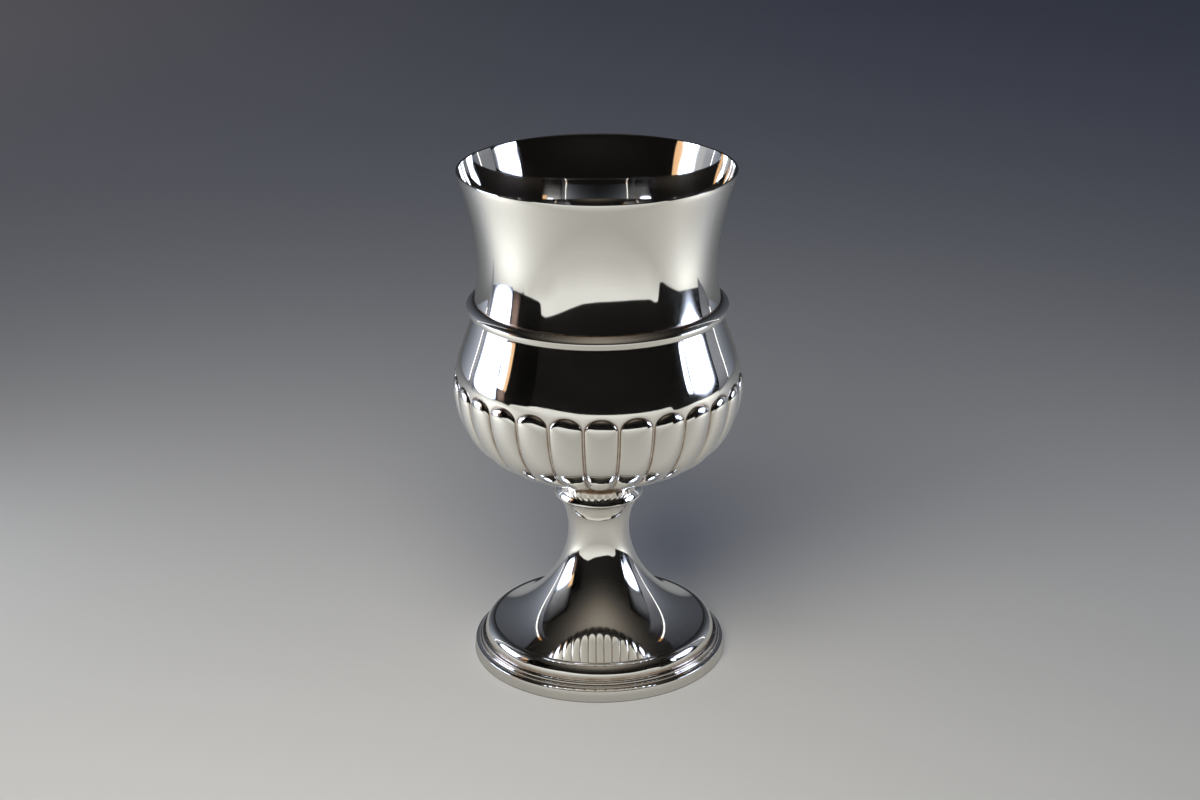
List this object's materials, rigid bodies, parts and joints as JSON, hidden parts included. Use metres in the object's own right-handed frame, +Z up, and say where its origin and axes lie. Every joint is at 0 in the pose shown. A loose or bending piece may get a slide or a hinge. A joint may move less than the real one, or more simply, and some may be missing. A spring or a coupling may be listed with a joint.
{
  "type": "silver goblet",
  "caption": "Footed silver goblet: flared campana bowl with a girdle wire and chased lobes, on a collared stem that spreads into a hollow trumpet foot.",
  "frame": {"origin": "centre of the foot, on the surface that the goblet stands on", "axes": "+Z up along the goblet's axis towards the rim; one lobe of the bowl is centred on -Y"},
  "size_m": [0.093, 0.0936, 0.165],
  "materials": {
    "silver_bowl": "hand-polished sterling silver, a little brown tarnish between the lobes",
    "silver_girdle": "polished drawn silver wire, tarnished where it meets the wall",
    "silver_collar": "polished silver ring, tarnished at both joints",
    "silver_foot": "hand-polished sterling silver with fine polishing lines round the axis",
    "silver_foot_rim": "polished silver moulding, tarnished in its grooves"
  },
  "bodies": {
    "root": {"bowl": "silver_bowl", "girdle_wire": "silver_girdle", "stem_collar": "silver_collar", "trumpet_foot": "silver_foot", "foot_rim": "silver_foot_rim"}
  },
  "joints": []
}
